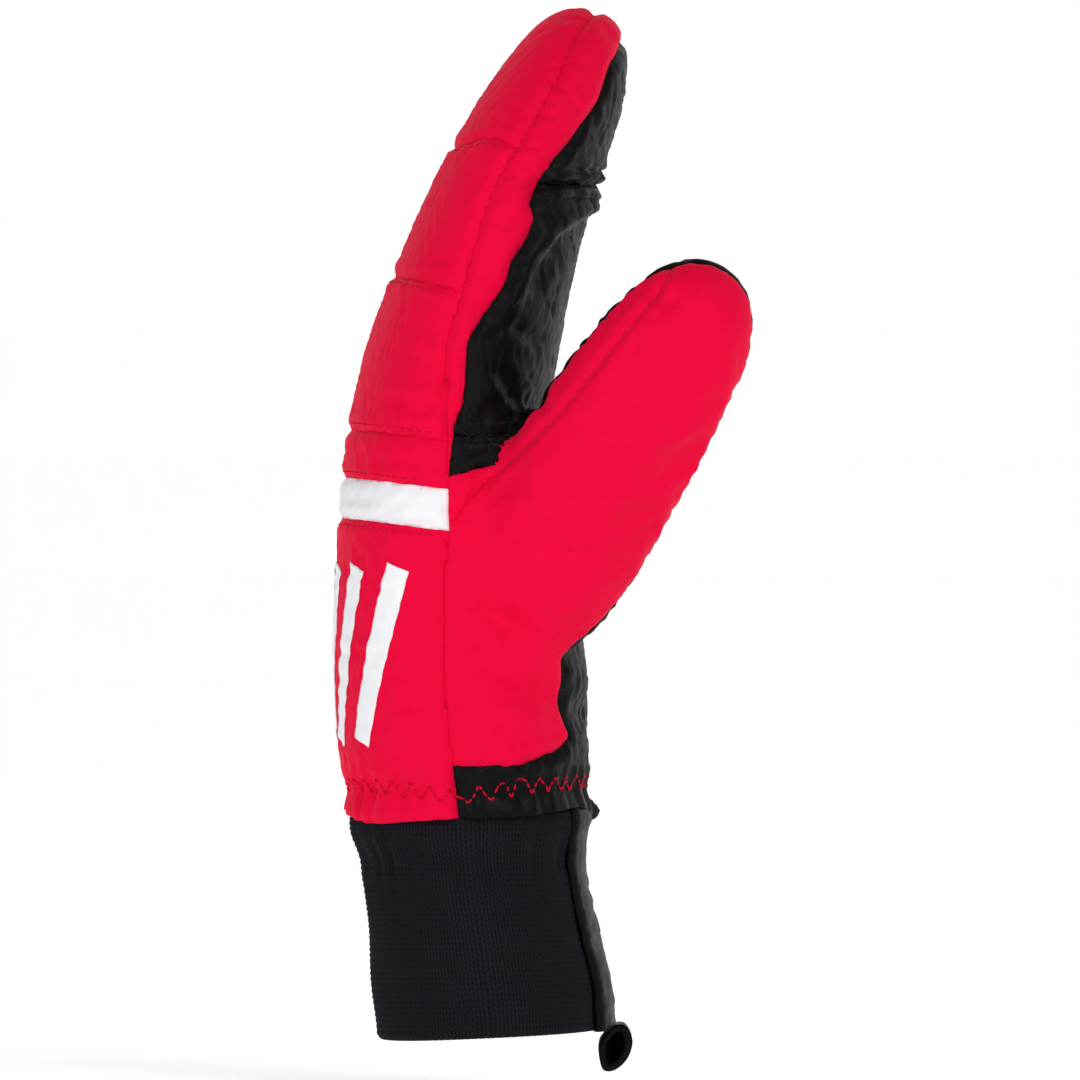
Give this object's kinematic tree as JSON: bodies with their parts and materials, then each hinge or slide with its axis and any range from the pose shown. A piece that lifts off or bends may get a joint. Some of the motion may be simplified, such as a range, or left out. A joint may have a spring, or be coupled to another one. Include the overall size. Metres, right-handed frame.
{
  "type": "ski mitten",
  "caption": "Insulated ski mitten for the left hand, with a curved finger pocket, a separate thumb, a leather palm, a ribbed knit cuff and a leather pull tab.",
  "frame": {"origin": "middle of the wrist opening, at the height of the wrist elastic", "axes": "+Z to the fingertips, +X out of the palm, -Y to the thumb side"},
  "size_m": [0.1117, 0.1233, 0.2878],
  "materials": {
    "red_softshell": "woven stretch softshell, matt",
    "white_softshell": "woven stretch softshell, matt",
    "black_leather": "soft grained leather, satin",
    "rib_knit": "rib knit",
    "insulation": "lofted fibre",
    "insert_film": "laminated film, smooth",
    "lining_fleece": "brushed fleece",
    "elastic_tape": "knitted elastic",
    "red_thread": "polyester thread",
    "white_film": "heat-transfer film",
    "label_tape": "woven satin tape"
  },
  "bodies": {
    "hand": {"knuckle_band": "red_softshell", "white_stripe": "white_softshell", "back_lower_panel": "red_softshell", "palm_heel_leather": "black_leather", "little_finger_gusset": "red_softshell", "insulation_hand_back": "insulation", "insulation_hand_palm": "insulation", "waterproof_insert": "insert_film", "inner_lining": "lining_fleece", "wrist_elastic": "elastic_tape", "wrist_zigzag_thread": "red_thread", "printed_bars": "white_film", "care_label": "label_tape"},
    "fingers": {"back_fingertip_panel": "red_softshell", "back_upper_panel": "red_softshell", "back_middle_panel": "red_softshell", "thumb_side_gusset": "red_softshell", "palm_fingertip_leather": "black_leather", "palm_finger_leather": "black_leather", "insulation_fingers_back": "insulation", "insulation_fingers_palm": "insulation"},
    "thumb": {"thumb_outer_panel": "red_softshell", "thumb_front_strip": "red_softshell", "thumb_palm_leather": "black_leather", "insulation_thumb": "insulation"},
    "cuff": {"knit_cuff_outer_layer": "rib_knit", "knit_cuff_inner_layer": "rib_knit", "cuff_leather_strip": "black_leather"},
    "tab": {"pull_tab": "black_leather"}
  },
  "joints": [
    {"name": "finger_curl", "type": "hinge", "parent": "hand", "child": "fingers", "pos_m": [-0.01, 0, 0.095], "axis": [0, 1, 0], "range_deg": [0, 25], "stiffness_Nm_per_rad": 0.6, "deforming": ["waterproof_insert", "inner_lining", "little_finger_gusset", "thumb_side_gusset", "palm_finger_leather"]},
    {"name": "thumb_swing", "type": "hinge", "parent": "hand", "child": "thumb", "pos_m": [0.02661, -0.04022, 0.08213], "axis": [0.5402, 0.8415, 0], "range_deg": [-6, 12], "stiffness_Nm_per_rad": 0.4, "deforming": ["thumb_outer_panel", "thumb_front_strip", "thumb_palm_leather"]},
    {"name": "wrist_flex", "type": "hinge", "parent": "hand", "child": "cuff", "pos_m": [-0.005, 0, 0], "axis": [0, 1, 0], "range_deg": [-10, 10], "stiffness_Nm_per_rad": 0.4, "deforming": ["knit_cuff_outer_layer"]},
    {"name": "tab_swing", "type": "hinge", "parent": "cuff", "child": "tab", "pos_m": [0.03255, 0, -0.0653], "axis": [0, 1, 0], "range_deg": [-60, 10]}
  ]
}
